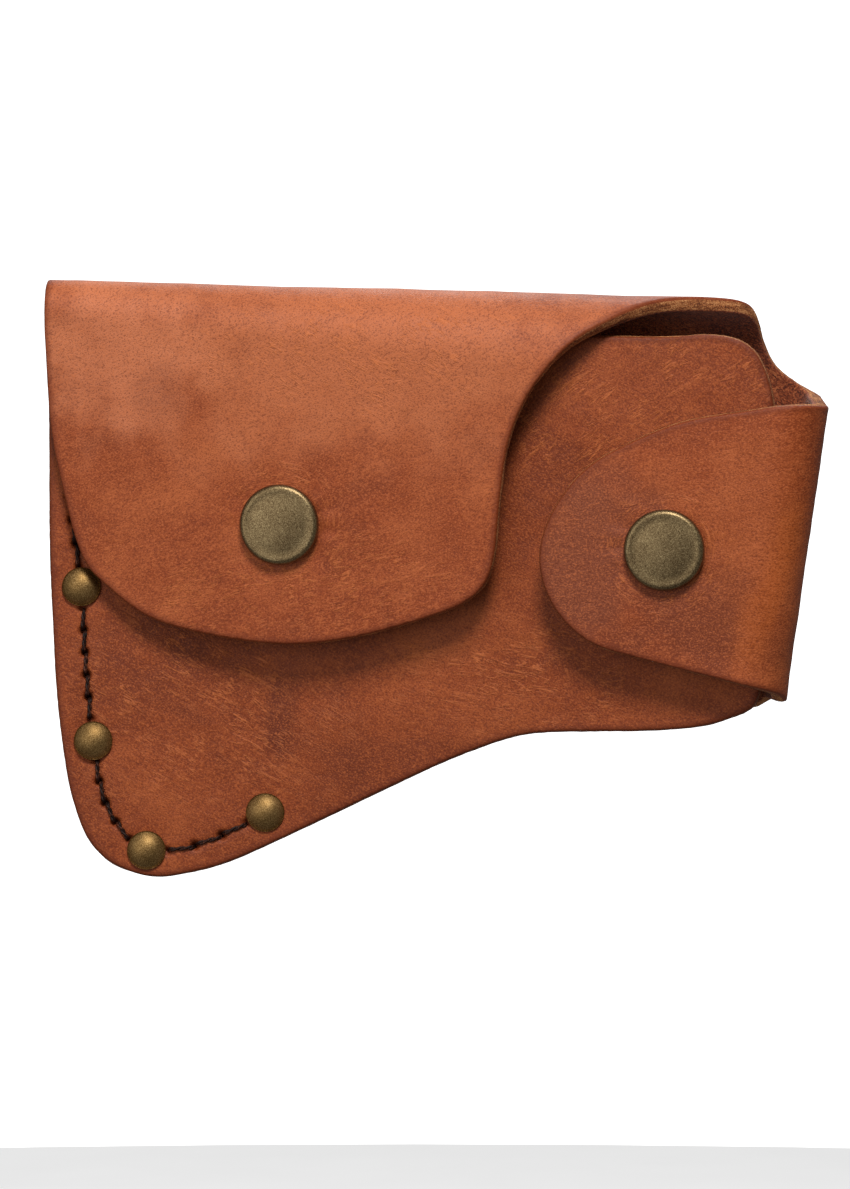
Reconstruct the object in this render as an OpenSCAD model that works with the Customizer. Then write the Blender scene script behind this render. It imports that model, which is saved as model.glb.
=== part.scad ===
// Leather sheath for a hatchet head, worn upright on a belt.
// +X runs along the head towards its poll, +Y points at the wearer, +Z is up.
// The origin is the centre of the belt loop's passage.

/* [Leather] */
// Thickness of the hide
hide_t = 2.8; // [2.4:0.1:3.2]
// Outer radius of the side fold at the back
side_back_r = 6; // [4:0.5:8]
// Outer radius of the side fold at the front
side_front_r = 9; // [5:0.5:11]
// Thickness of the welt that keeps the blade off the stitches
welt_t = 2.8; // [2:0.1:3.5]
// Width of the welt
welt_w = 11; // [9:0.5:13]

/* [Cavity] */
// Angle at which the front panel rises from its seam, which makes room for the wedge of the head
panel_rise = 10; // [8:0.5:11]
// Fall of the top fold towards the poll
top_fall = 1.8; // [0:0.1:3]
// Height of the top fold above the belt loop's centre
top_h = 44.7; // [43:0.1:47]
// Lean of the side fold
side_lean = 7.8; // [5:0.1:9]
// Distance of the side fold from the belt loop's centre
side_w = 77.7; // [76:0.1:80]

/* [Snap fasteners] */
// Radius of the snap's cap
cap_r = 7.7; // [7:0.1:8.5]
// Height of the snap's cap
cap_h = 2; // [1.5:0.1:2.5]
// Distance that a closed snap holds the flap off the front panel
snap_gap = 4.6; // [4.4:0.1:5.2]

/* [Seam] */
// Radius of a rivet's cap
rivet_r = 3.75; // [3.4:0.05:4]
// Height of a rivet's domed cap
rivet_h = 1.9; // [1.5:0.1:2.2]
// Length of one stitch
stitch_pitch = 4.75; // [4:0.25:6]
// Thickness of the thread
thread_d = 1.1; // [0.8:0.1:1.3]

/* [Belt loop] */
// Tallest belt that the loop takes
belt_h = 38; // [34:1:38]
// Room for the belt's thickness
belt_room = 6; // [5:0.5:8]
// Width of the strap
strap_w = 30; // [26:1:32]
// Length of the strap's riveted ends
strap_tab = 8; // [7.5:0.5:9]

/* [Hidden] */

leather = "#b0603a";
suede = "#8a5038";
brass = "#8a7a45";
thread = "#4a2c1c";

$fn = 64;
span = 200;          // longer than the whole sheath
play = 0.05;         // radial play of a post in its hole
steps = 4;           // straight pieces per spline stretch

// Depths along Y, from the wearer's side to the front
back_face = -belt_room / 2;
back_inner = back_face - hide_t;
welt_front = back_inner - welt_t;
flange_face = welt_front - hide_t;

// Crease where the front panel leaves the flat seam, as X and Z of its two ends
crease_top = [-52, 40];
crease_low = [-20, -60];
crease = (crease_low - crease_top) / norm(crease_low - crease_top);
rise_dir = [-crease.y, crease.x];

// Outward normals and offsets of the outer leather faces
back_n = [0, 1, 0];
flange_n = [0, -1, 0];
front_n = [-sin(panel_rise) * rise_dir.x, -cos(panel_rise), -sin(panel_rise) * rise_dir.y];
top_n = [sin(top_fall), 0, cos(top_fall)];
side_n = [cos(side_lean), 0, -sin(side_lean)];
flange_off = -flange_face;
front_off = front_n * [crease_top.x, flange_face, crease_top.y];
flap_off = front_off + snap_gap + hide_t;

// Folds of the side flap
back_side = fold(back_n, back_face, side_n, side_w, side_back_r);
side_front = fold(side_n, side_w, front_n, flap_off, side_front_r);

// The top fold is half of a cone that touches the back, the top and the flap's plane
arch_tip = meet(back_n, back_face, top_n, top_h, front_n, flap_off);
arch_ray = meet(back_n, -1, top_n, -1, front_n, -1);
arch_axis = unit(arch_ray);
arch_slope = asin(1 / norm(arch_ray));
arch_out = unit(back_n + arch_axis / norm(arch_ray));
arch_turn = 360 - acos(unit(front_n + arch_axis / norm(arch_ray)) * arch_out);
arch_far = 240;      // length of the cone from its tip to past the sheath
arch_wall = [60, 120];
hair = 0.02;         // angle left free between two parts of the top fold

// Edge that both panels share along the seam and the lower side, as X and Z
seam_edge = spline([
    [-68.4, 38.6], [-68, 18], [-67.9, -4], [-67.3, -19], [-66.4, -34.5], [-64.6, -48.5], [-62.8, -56],
    [-60.3, -61.8], [-56.5, -65.8], [-52, -67.9], [-47.5, -68.8], [-43, -68.4], [-34, -66.2], [-21.3, -60.6]
]);
low_edge = spline([
    [-21.3, -60.6], [0, -50.3], [10, -45.7], [20.3, -41.9], [27, -40.7], [36, -40.4], [48, -40.2], [58, -39.2], [65, -36.9]
]);
// Notch between the top flap and the side flap
notch = spline([[66.8, 50], [67.4, 40], [69, 35], [73, 29.2], [77.5, 25.8], [82, 23], [90, 22.8]]);
// Free edge of the top flap, from the top fold's right end round to its left end
top_flap_edge = spline([
    [66.5, 50], [65.5, 42.8], [51, 41], [40.5, 36.5], [30.5, 29.8], [23.5, 21.5], [20, 13.5], [18.8, 3.5], [17.5, -8.2],
    [14.5, -14], [7, -18], [-11, -22.8], [-26.5, -23.5], [-46.5, -19.4], [-57.5, -11.8], [-61.8, -6], [-65, 5.3],
    [-67.5, 18], [-68.6, 35], [-68.6, 50]
]);
// Free edge of the side flap, from the side fold's upper end round to its lower end
side_flap_edge = spline([
    [90, 22.8], [82, 22.6], [76, 21.3], [66, 20.4], [53, 18.2], [42.5, 14], [35, 9.5], [29.8, 3.2], [27, -3],
    [26.4, -8], [27.4, -13], [30.5, -18.6], [36.5, -23.6], [46.5, -26.7], [64.8, -31.4], [75, -34], [90, -35]
]);
// Mouth edge and right end of the front panel
mouth_edge = spline([
    [65, -36.9], [68.2, -33], [70, -15], [71, 5], [70.9, 20], [69, 28.5], [65.5, 33.2], [59, 35], [45, 34.5]
]);

// Snap positions, as X and Z of the cap's centre
top_snap_at = [-23, -0.8];
side_snap_at = [50, -5.8];
post_r = 2.1;
socket_r = 6.2;
socket_h = 3.7;
stud_h = 2.7;

// Seam rivets, as X and Z, and the line of the stitches through them
rivets = [[-61.8, -12.7], [-59.5, -42.5], [-49.2, -63.7], [-26.2, -56.4]];
seam_line = spline([
    [-64.5, 33], [-64, 18], [-63.7, 3], rivets[0], [-61, -27], rivets[1], [-57.6, -53.2], [-54, -59.8],
    rivets[2], [-42, -63.4], [-34.5, -60.8], rivets[3]
]);
rivet_post_r = 1.6;

// Belt loop's rivets, as X and Z
strap_ramp = 5;
strap_foot = belt_h / 2 + strap_ramp;
strap_half = strap_foot + strap_tab;
loop_rivets = [for (x = [-8, 8], z = [-1, 1]) [x, z * (strap_half - strap_tab / 2)]];

function unit(v) = v / norm(v);

// Open smooth curve through the points p
function spline(p) = [
    for (i = [0 : len(p) - 2], k = [0 : steps - 1])
        curve_point(p[max(i - 1, 0)], p[i], p[i + 1], p[min(i + 2, len(p) - 1)], k / steps),
    p[len(p) - 1]
];
function curve_point(a, b, c, d, t) =
    (2 * b + (c - a) * t + (2 * a - 5 * b + 4 * c - d) * t * t + (3 * b - a - 3 * c + d) * t * t * t) / 2;

// The polyline p moved sideways by w, to the left of its direction
function inset(p, w) = [
    for (i = [0 : len(p) - 1])
        let (v = unit(p[min(i + 1, len(p) - 1)] - p[max(i - 1, 0)])) p[i] + w * [-v.y, v.x]
];

function backwards(p) = [for (i = [len(p) - 1 : -1 : 0]) p[i]];

// Length of the polyline p up to its point i, and the point at the length s
function run(p, i) = i == 0 ? 0 : run(p, i - 1) + norm(p[i] - p[i - 1]);
function along(p, s, i = 1) =
    let (d = norm(p[i] - p[i - 1]))
    s <= d || i == len(p) - 1 ? p[i - 1] + (p[i] - p[i - 1]) * s / d : along(p, s - d, i + 1);

// The point where three planes n * p = h meet
function meet(n1, h1, n2, h2, n3, h3) =
    (h1 * cross(n2, n3) + h2 * cross(n3, n1) + h3 * cross(n1, n2)) / (n1 * cross(n2, n3));

// Fold between two outer faces: a point on its axis, the axis, both normals and the radius
function fold(n1, h1, n2, h2, r) =
    let (d = cross(n1, n2)) [meet(n1, h1 - r, n2, h2 - r, d, 0), unit(d), n1, n2, r];
function fold_angle(f) = acos(f[2] * f[3]);

// How far from a fold's axis its hinge lies, in radii, to keep the hide's length when laid flat
function hinge_out(a) = a * PI / 180 / (2 * sin(a / 2));
function fold_pivot(f) =
    f[0] + (f[4] - hide_t / 2) * hinge_out(fold_angle(f)) * unit(f[2] + f[3]);

// The direction at the angle a round the top fold's cone, and the hinge of the half from a to b
function arch_dir(a) = cos(a) * arch_out + sin(a) * cross(arch_axis, arch_out);
function arch_hinge_dir(a, b) =
    unit(arch_axis + tan(arch_slope) * hinge_out(b - a) * arch_dir((a + b) / 2));
function arch_hinge_point(a, b, x) =
    let (tip = arch_tip + arch_axis * hide_t / 2 / sin(arch_slope), d = arch_hinge_dir(a, b))
    tip + d * (x - tip.x) / d.x;

// The point of the plane n * p = h at the given X and Z
function on_plane(n, h, at) = [at.x, (h - n.x * at.x - n.z * at.y) / n.y, at.y];

module place(c, ex, ey, ez)
    multmatrix([[ex.x, ey.x, ez.x, c.x], [ex.y, ey.y, ez.y, c.y], [ex.z, ey.z, ez.z, c.z], [0, 0, 0, 1]])
        children();

// Turns local Z to the direction n and keeps local Y near the world's Z
module face_out(c, n) {
    ex = unit(cross([0, 0, 1], n));
    place(c, ex, cross(n, ex), n) children();
}

// Outline in X and Z, drawn out along Y
module prism(outline)
    rotate([90, 0, 0]) linear_extrude(span, center = true) polygon(outline);

// Everything behind the plane n * p = h
module behind(n, h)
    face_out(n * h, n) translate([-span, -span, -span]) cube([2 * span, 2 * span, span]);

// The sheet that reaches a fold, the sheet that leaves it, and everything before the fold
module sheet_into(f)
    place(f[0], -cross(f[1], f[2]), -f[1], f[2])
        translate([0, -span, f[4] - hide_t]) cube([span, 2 * span, hide_t]);
module sheet_from(f)
    place(f[0], cross(f[1], f[3]), f[1], f[3])
        translate([0, -span, f[4] - hide_t]) cube([span, 2 * span, hide_t]);
module before(f)
    place(f[0], -cross(f[1], f[2]), -f[1], f[2])
        translate([0, -span, -span]) cube([2 * span, 2 * span, 2 * span]);
module fold_ring(f)
    place(f[0], f[2], cross(f[1], f[2]), f[1])
        translate([0, 0, -span / 2]) rotate_extrude(angle = fold_angle(f), $fn = 96)
            translate([f[4] - hide_t, 0]) square([hide_t, span]);

// The top fold's hide from the angle a to the angle b
module arch(a, b) {
    near = 60;
    deep = hide_t / cos(arch_slope);
    rise = tan(arch_slope);
    place(arch_tip, arch_dir(a), cross(arch_axis, arch_dir(a)), arch_axis)
        rotate_extrude(angle = b - a, $fn = 128) polygon([
            [near * rise - deep, near], [near * rise, near],
            [arch_far * rise, arch_far], [arch_far * rise - deep, arch_far]
        ]);
}
// Everything past the radial plane at the angle a of the top fold, or everything before it
module arch_past(a, way)
    place(arch_tip, arch_dir(a), cross(arch_axis, arch_dir(a)), arch_axis)
        translate([-span, way > 0 ? 0 : -span, 0]) cube([2 * span, span, 2 * span]);

// The cut piece of hide, as it is seen from the front when folded
module hide_prism()
    prism(concat(
        seam_edge, low_edge, [[69.5, -36], [74, -34.4], [90, -34.2]], backwards(notch), [[67, 60], [-68.6, 60]]
    ));

// Hole through the leather near the point c of its outer face
module leather_hole(c, n, r)
    face_out(c, n) cylinder(h = 3 * hide_t, r = r + play, center = true);

module back_panel() color(leather) difference() {
    intersection() {
        hide_prism();
        arch_past(0, -1);
        sheet_into(back_side);
    }
    for (at = concat(rivets, loop_rivets))
        leather_hole([at.x, back_inner, at.y], back_n, rivet_post_r);
}

module front_panel() color(leather) difference() {
    intersection() {
        prism(concat(seam_edge, low_edge, mouth_edge, [[-10, 36.6]]));
        union() {
            behind(flange_n, flange_off);
            behind(front_n, front_off);
        }
    }
    behind(flange_n, flange_off - hide_t);
    behind(front_n, front_off - hide_t);
    for (at = rivets)
        leather_hole([at.x, flange_face, at.y], flange_n, rivet_post_r);
    for (at = [top_snap_at, side_snap_at])
        leather_hole(snap_centre(at) + panel_out * front_n, front_n, post_r);
}

module welt() color(suede) difference() {
    translate([0, back_inner, 0]) rotate([90, 0, 0]) linear_extrude(welt_t)
        polygon(concat(seam_edge, backwards(inset(seam_edge, welt_w))));
    for (at = rivets)
        leather_hole([at.x, back_inner, at.y], back_n, rivet_post_r);
}

module side_back_bend() color(leather) intersection() {
    hide_prism();
    fold_ring(back_side);
}

module side_front_bend() color(leather) intersection() {
    prism(side_flap_edge);
    fold_ring(side_front);
}

module side_wall() color(leather) intersection() {
    hide_prism();
    sheet_from(back_side);
    sheet_into(side_front);
}

module side_flap() color(leather) difference() {
    intersection() {
        prism(side_flap_edge);
        sheet_from(side_front);
    }
    leather_hole(snap_centre(side_snap_at), front_n, post_r);
}

module top_back_bend() color(leather) intersection() {
    hide_prism();
    arch(0, arch_wall[0] - hair);
    before(back_side);
}

// Its back half ends at the notch and its front half at the flap's free edge
module top_wall() color(leather) {
    intersection() {
        hide_prism();
        arch(arch_wall[0], 90);
    }
    intersection() {
        prism(top_flap_edge);
        arch(90, arch_wall[1] - hair);
    }
}

module top_front_bend() color(leather) intersection() {
    prism(top_flap_edge);
    arch(arch_wall[1], arch_turn - hair);
}

module top_flap() color(leather) difference() {
    intersection() {
        prism(top_flap_edge);
        arch_past(arch_turn, 1);
        behind(front_n, flap_off);
    }
    behind(front_n, flap_off - hide_t);
    leather_hole(snap_centre(top_snap_at), front_n, post_r);
}

// One thread lies in short stitches on the face at the depth y
module stitches(y) color(thread) {
    total = run(seam_line, len(seam_line) - 1);
    bar = stitch_pitch - 1;
    for (k = [0 : floor(total / stitch_pitch) - 1]) {
        a = along(seam_line, k * stitch_pitch + 0.5);
        b = along(seam_line, k * stitch_pitch + 0.5 + bar);
        clear = min([for (r = rivets) norm((a + b) / 2 - r)]);
        v = unit(b - a);
        if (clear > rivet_r + bar / 2 + 0.2)
            place([a.x, y, a.y], [v.y, 0, -v.x], [0, -1, 0], [v.x, 0, v.y])
                cylinder(h = bar, d = thread_d, $fn = 16);
    }
}

// Domed cap that closes over the tip of its post
module rivet_cap(c, n) color(brass) face_out(c, n) difference() {
    intersection() {
        translate([0, 0, rivet_h - dome_r(rivet_r, rivet_h)]) sphere(dome_r(rivet_r, rivet_h));
        cylinder(h = rivet_h, r = rivet_r);
    }
    translate([0, 0, -play]) cylinder(h = rivet_h / 2 + 2 * play, r = rivet_post_r + play);
}
function dome_r(r, h) = (r * r + h * h) / (2 * h);

// Flat head and post, which passes through the leather stack t thick
module rivet_post(c, n, t) color(brass) face_out(c, n) {
    cylinder(h = 0.9, r = rivet_r - 0.3);
    translate([0, 0, -t - rivet_h / 2 + play]) cylinder(h = t + rivet_h / 2, r = rivet_post_r);
}

module seam_rivet_cap(i) rivet_cap([rivets[i].x, flange_face, rivets[i].y], flange_n);
module seam_rivet_post(i)
    rivet_post([rivets[i].x, back_face, rivets[i].y], back_n, 2 * hide_t + welt_t);

// Strap with two riveted ends that stands off the back panel between them
module belt_loop() color(leather) difference() {
    translate([-strap_w / 2, 0, 0]) rotate([90, 0, 90]) linear_extrude(strap_w)
        polygon(concat(strap_line(0), backwards(strap_line(hide_t))));
    for (at = loop_rivets)
        leather_hole([at.x, back_face, at.y], back_n, rivet_post_r);
}
// The strap's inner face (off = 0) or outer face (off = hide_t), as Y and Z
function strap_line(off) =
    let (side = [
        for (k = [0 : 8])
            let (u = k / 8, bow = belt_room * (1 - cos(180 * u)) / 2)
            [back_face + bow + off, strap_foot - strap_ramp * u + off * u * (1 - u)]
    ])
    concat(
        [[back_face + off, strap_half]], side,
        [for (i = [len(side) - 1 : -1 : 0]) [side[i].x, -side[i].y]], [[back_face + off, -strap_half]]
    );

module loop_rivet_cap(at) rivet_cap([at.x, back_face + hide_t, at.y], back_n);
module loop_rivet_post(at) mirror([0, 1, 0])
    rivet_post([at.x, -back_inner, at.y], back_n, 2 * hide_t);

// Snap fastener. Local Z is 0 on the flap's outer face and points out of the sheath.
function snap_centre(at) = on_plane(front_n, flap_off, at);
flap_in = -hide_t;
panel_out = flap_in - snap_gap;
panel_in = panel_out - hide_t;

module at_snap(at) face_out(snap_centre(at), front_n) children();

module snap_cap(at) color(brass) at_snap(at) {
    rotate_extrude() polygon(concat(
        [[0, 0], [cap_r - 0.3, 0]],
        [for (a = [-30 : 15 : 90]) [cap_r - 0.8 + 0.8 * cos(a), cap_h - 1.2 + 0.8 * sin(a)]],
        [[0, cap_h]]
    ));
    translate([0, 0, flap_in - 1.1]) cylinder(h = hide_t + 1.2, r = post_r);
    translate([0, 0, flap_in - 1.5]) cylinder(h = 0.5, r = post_r + 0.9);
}

module snap_socket(at) color(brass) at_snap(at) difference() {
    translate([0, 0, flap_in - socket_h]) cylinder(h = socket_h, r = socket_r);
    translate([0, 0, flap_in - socket_h - 1]) cylinder(h = socket_h, r = socket_r - 1.6);
    cylinder(h = span, r = post_r + play, center = true);
}

module snap_spring(at) color("silver") at_snap(at)
    for (side = [-1, 1])
        translate([side * 3.75, 0, panel_out + 1.2]) rotate([90, 0, 0]) cylinder(h = 6.4, r = 0.35, center = true, $fn = 16);

module snap_stud(at) color(brass) at_snap(at) difference() {
    translate([0, 0, panel_out]) rotate_extrude() polygon([
        [0, 0], [5.4, 0], [5.4, 0.5], [5.2, 0.7], [3.1, 0.7], [3.1, 1.6], [3.4, 1.8],
        [3.5, 2.1], [3.4, 2.4], [3, stud_h], [0, stud_h]
    ]);
    cylinder(h = span, r = post_r + play, center = true);
}

module snap_eyelet(at) color(brass) at_snap(at) difference() {
    union() {
        translate([0, 0, panel_in - 0.7]) cylinder(h = 0.7, r = 5.8);
        translate([0, 0, panel_in - 0.1]) cylinder(h = hide_t + stud_h, r = post_r);
    }
    translate([0, 0, panel_in - 1]) cylinder(h = hide_t + stud_h + 2, r = post_r - 0.5);
}

back_panel();
front_panel();
welt();
stitches(flange_face + 0.2);  // needle_thread
stitches(back_face - 0.2);  // bobbin_thread
seam_rivet_cap(0);  // seam_rivet_1_cap
seam_rivet_post(0);  // seam_rivet_1_post
seam_rivet_cap(1);  // seam_rivet_2_cap
seam_rivet_post(1);  // seam_rivet_2_post
seam_rivet_cap(2);  // seam_rivet_3_cap
seam_rivet_post(2);  // seam_rivet_3_post
seam_rivet_cap(3);  // seam_rivet_4_cap
seam_rivet_post(3);  // seam_rivet_4_post
belt_loop();
for (at = loop_rivets) loop_rivet_cap(at);  // loop_rivet_caps
for (at = loop_rivets) loop_rivet_post(at);  // loop_rivet_posts
top_back_bend();
top_wall();
top_front_bend();
top_flap();
side_back_bend();
side_wall();
side_front_bend();
side_flap();
snap_cap(top_snap_at);  // top_snap_cap
snap_socket(top_snap_at);  // top_snap_socket
snap_spring(top_snap_at);  // top_snap_spring
snap_stud(top_snap_at);  // top_snap_stud
snap_eyelet(top_snap_at);  // top_snap_eyelet
snap_cap(side_snap_at);  // side_snap_cap
snap_socket(side_snap_at);  // side_snap_socket
snap_spring(side_snap_at);  // side_snap_spring
snap_stud(side_snap_at);  // side_snap_stud
snap_eyelet(side_snap_at);  // side_snap_eyelet
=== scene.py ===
"""Looks of the leather hatchet sheath: hide, stitches, brass and studio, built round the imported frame."""
import math
import bpy
import numpy as np
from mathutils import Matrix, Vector, noise
from mathutils.geometry import delaunay_2d_cdt


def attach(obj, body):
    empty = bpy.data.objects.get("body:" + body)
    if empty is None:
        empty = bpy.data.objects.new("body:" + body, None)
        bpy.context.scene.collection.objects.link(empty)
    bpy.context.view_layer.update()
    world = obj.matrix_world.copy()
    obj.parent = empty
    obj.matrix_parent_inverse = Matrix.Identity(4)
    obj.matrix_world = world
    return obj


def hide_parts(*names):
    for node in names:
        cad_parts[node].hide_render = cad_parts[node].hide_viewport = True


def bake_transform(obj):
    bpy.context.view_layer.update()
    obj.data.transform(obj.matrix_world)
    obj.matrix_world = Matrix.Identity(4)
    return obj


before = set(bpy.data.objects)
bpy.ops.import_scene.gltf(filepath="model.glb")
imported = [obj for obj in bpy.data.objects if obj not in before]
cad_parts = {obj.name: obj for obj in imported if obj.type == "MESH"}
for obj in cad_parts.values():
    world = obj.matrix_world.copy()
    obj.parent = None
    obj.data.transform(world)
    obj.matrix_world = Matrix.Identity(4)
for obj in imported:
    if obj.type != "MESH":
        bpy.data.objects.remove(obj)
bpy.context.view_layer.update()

# ---------------------------------------------------------------- driving sizes, in millimetres
MM = 0.001
# Thickness of the hide and of the welt, and the welt's width
HIDE_T = 2.8
WELT_T = 2.8
WELT_W = 11.0
# Belt loop: room for the belt's thickness and height, the strap's width, its riveted tabs and its ramps
BELT_ROOM = 6.0
BELT_H = 38.0
STRAP_W = 30.0
STRAP_TAB = 8.0
STRAP_RAMP = 5.0
# How the front panel rises from the seam, and where the top and the side of the sheath lie
PANEL_RISE = math.radians(10)
TOP_FALL = math.radians(1.8)
TOP_H = 44.7
SIDE_LEAN = math.radians(7.8)
SIDE_W = 77.7
# Outer radii of the side's two folds
SIDE_BACK_R = 6.0
SIDE_FRONT_R = 9.0
# Gap between panel and flaps at the snaps, then the brass and the length of a stitch
SNAP_GAP = 4.6
CAP_R = 7.7
CAP_H = 2.0
RIVET_R = 3.75
RIVET_H = 1.9
STITCH = 4.75

# Depths of the flat layers along Y
BACK_FACE = -BELT_ROOM / 2
BACK_INNER = BACK_FACE - HIDE_T
WELT_FRONT = BACK_INNER - WELT_T
FLANGE_FACE = WELT_FRONT - HIDE_T
# The crease along the seam, where the front panel starts to rise
CREASE_TOP = np.array([-52.0, 40.0])
CREASE_LOW = np.array([-20.0, -60.0])

# Outlines as X and Z, seen from the front
SEAM_EDGE = [(-68.4, 38.6), (-68, 18), (-67.9, -4), (-67.3, -19), (-66.4, -34.5), (-64.6, -48.5),
             (-62.8, -56), (-60.3, -61.8), (-56.5, -65.8), (-52, -67.9), (-47.5, -68.8), (-43, -68.4),
             (-34, -66.2), (-21.3, -60.6)]
LOW_EDGE = [(0, -50.3), (10, -45.7), (20.3, -41.9), (27, -40.7), (36, -40.4), (48, -40.2), (58, -39.2),
            (65, -36.9)]
MOUTH_EDGE = [(68.2, -33), (70, -15), (71, 5), (70.9, 20), (69, 28.5), (65.5, 33.2), (59, 35), (45, 34.8)]
TOP_FLAP_EDGE = [(54.5, 42.7), (49.4, 42), (44.3, 40.3), (38, 37.2), (31.7, 32.9), (25.6, 25.8), (22, 19.2),
                 (20, 12.5), (18.8, 3.5), (17.5, -8.2), (14.5, -14), (7, -18), (-11, -22.8), (-26.5, -23.5),
                 (-46.5, -19.4), (-57.5, -11.8), (-61.8, -6), (-65, 5.3), (-67.5, 18), (-68.6, 35)]
SIDE_FLAP_EDGE = [(76, 21.3), (66, 20.4), (53, 18.2), (42.5, 14), (35, 9.5), (29.8, 3.2), (27, -3),
                  (26.4, -8), (27.4, -13), (30.5, -18.6), (36.5, -23.6), (46.5, -26.7), (64.8, -31.4)]
TOP_SNAP = (-23.0, -0.8)
SIDE_SNAP = (50.0, -5.8)
RIVETS = [(-61.8, -12.7), (-59.5, -42.5), (-49.2, -63.7), (-26.2, -56.4)]
SEAM_LINE = [(-64.5, 33), (-64, 18), (-63.7, 3), RIVETS[0], (-61, -27), RIVETS[1], (-57.6, -53.2),
             (-54, -59.8), RIVETS[2], (-42, -63.4), (-34.5, -60.8), RIVETS[3]]
STRAP_FOOT = BELT_H / 2 + STRAP_RAMP
STRAP_HALF = STRAP_FOOT + STRAP_TAB
LOOP_RIVETS = [(x, z * (STRAP_HALF - STRAP_TAB / 2)) for x in (-8, 8) for z in (-1, 1)]


# ---------------------------------------------------------------- small geometry helpers
def unit(v):
    return v / np.linalg.norm(v)


def units(rows):
    """Each row brought to length 1."""
    return rows / np.maximum(np.linalg.norm(rows, axis=1)[:, None], 1e-12)


def lengths(line):
    """How far along the polyline each of its points lies."""
    return np.concatenate([[0], np.cumsum(np.linalg.norm(np.diff(line, axis=0), axis=1))])


def meet(n1, h1, n2, h2, n3, h3):
    """The point where three planes n * p = h meet."""
    return np.linalg.solve(np.array([n1, n2, n3], float), np.array([h1, h2, h3], float))


def spline(points, gap=0.9, closed=False):
    """A smooth curve through the points, resampled about every gap."""
    p = np.array(points, float)
    n = len(p)
    out = []
    for i in range(n if closed else n - 1):
        if closed:
            a, b, c, d = p[(i - 1) % n], p[i], p[(i + 1) % n], p[(i + 2) % n]
        else:
            a, b, c, d = p[max(i - 1, 0)], p[i], p[i + 1], p[min(i + 2, n - 1)]
        for t in np.arange(16) / 16:
            out.append((2 * b + (c - a) * t + (2 * a - 5 * b + 4 * c - d) * t**2
                        + (3 * b - a - 3 * c + d) * t**3) / 2)
    out.append(p[0] if closed else p[-1])
    return resample(np.array(out), gap)


def resample(line, gap):
    """The polyline with points at equal steps of about gap."""
    s = lengths(line)
    t = np.linspace(0, s[-1], max(2, int(round(s[-1] / gap)) + 1))
    return np.stack([np.interp(t, s, line[:, k]) for k in range(line.shape[1])], axis=1)


def inset(loop, w):
    """A closed loop, or an open line, moved sideways by w to the left of its direction."""
    v = units(np.roll(loop, -1, axis=0) - np.roll(loop, 1, axis=0))
    return loop + w * np.stack([-v[:, 1], v[:, 0]], axis=1)


def to_line(p, line, closed=True):
    """Distance of each point p to the polyline."""
    a = line
    b = np.roll(line, -1, axis=0) if closed else line[1:]
    a = a if closed else a[:-1]
    best = np.full(len(p), 1e9)
    for k in range(0, len(a), 64):
        u, v = a[k:k + 64], b[k:k + 64] - a[k:k + 64]
        w = p[:, None, :] - u[None]
        t = np.clip((w * v).sum(2) / np.maximum((v * v).sum(1), 1e-12), 0, 1)
        best = np.minimum(best, np.linalg.norm(w - t[..., None] * v, axis=2).min(1))
    return best


def inside(p, loop):
    """True for the points p that lie inside the closed loop."""
    x, y = p[:, 0], p[:, 1]
    hit = np.zeros(len(p), bool)
    a, b = loop, np.roll(loop, -1, axis=0)
    for (x0, y0), (x1, y1) in zip(a, b):
        if y0 != y1:
            hit ^= ((y >= y0) != (y >= y1)) & (x < x0 + (y - y0) * (x1 - x0) / (y1 - y0))
    return hit


def smooth(t):
    t = np.clip(t, 0, 1)
    return t * t * (3 - 2 * t)


def rough(p, scale, seed, octaves=3):
    """Smooth noise in about -1 to 1 at the points p, with features about scale wide."""
    out = np.empty(len(p))
    for i, q in enumerate(p):
        out[i] = noise.fractal(Vector((q[0] / scale + seed, q[1] / scale, seed * 1.7)), 1.0, 2.0, octaves)
    return out


# ---------------------------------------------------------------- the hide's shape when folded
BACK_N = np.array([0.0, 1, 0])
CREASE = unit(CREASE_LOW - CREASE_TOP)
RISE_DIR = np.array([-CREASE[1], CREASE[0]])
FRONT_N = np.array([0, -math.cos(PANEL_RISE), 0])
FRONT_N[[0, 2]] = -math.sin(PANEL_RISE) * RISE_DIR
TOP_N = np.array([math.sin(TOP_FALL), 0, math.cos(TOP_FALL)])
SIDE_N = np.array([math.cos(SIDE_LEAN), 0, -math.sin(SIDE_LEAN)])
FRONT_OFF = FRONT_N @ np.array([CREASE_TOP[0], FLANGE_FACE, CREASE_TOP[1]])
FLAP_OFF = FRONT_OFF + SNAP_GAP + HIDE_T
HALF_T = HIDE_T / 2

# The top fold is half of a cone: its tip, axis and slope, on the hide's middle surface
TIP = meet(BACK_N, BACK_FACE - HALF_T, TOP_N, TOP_H - HALF_T, FRONT_N, FLAP_OFF - HALF_T)
RAY = meet(BACK_N, -1, TOP_N, -1, FRONT_N, -1)
AXIS = unit(RAY)
SLOPE = math.asin(1 / np.linalg.norm(RAY))
OUT0 = unit(BACK_N + AXIS / np.linalg.norm(RAY))
OUT1 = np.cross(AXIS, OUT0)
FAR = unit(FRONT_N + AXIS / np.linalg.norm(RAY))
TURN = math.atan2(FAR @ OUT1, FAR @ OUT0) % (2 * math.pi)


def cone_dir(a):
    a = np.asarray(a)[..., None]
    return np.cos(a) * OUT0 + np.sin(a) * OUT1


G0 = AXIS * math.cos(SLOPE) + OUT0 * math.sin(SLOPE)
THETA0 = math.atan2(G0[2], G0[0])


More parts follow.
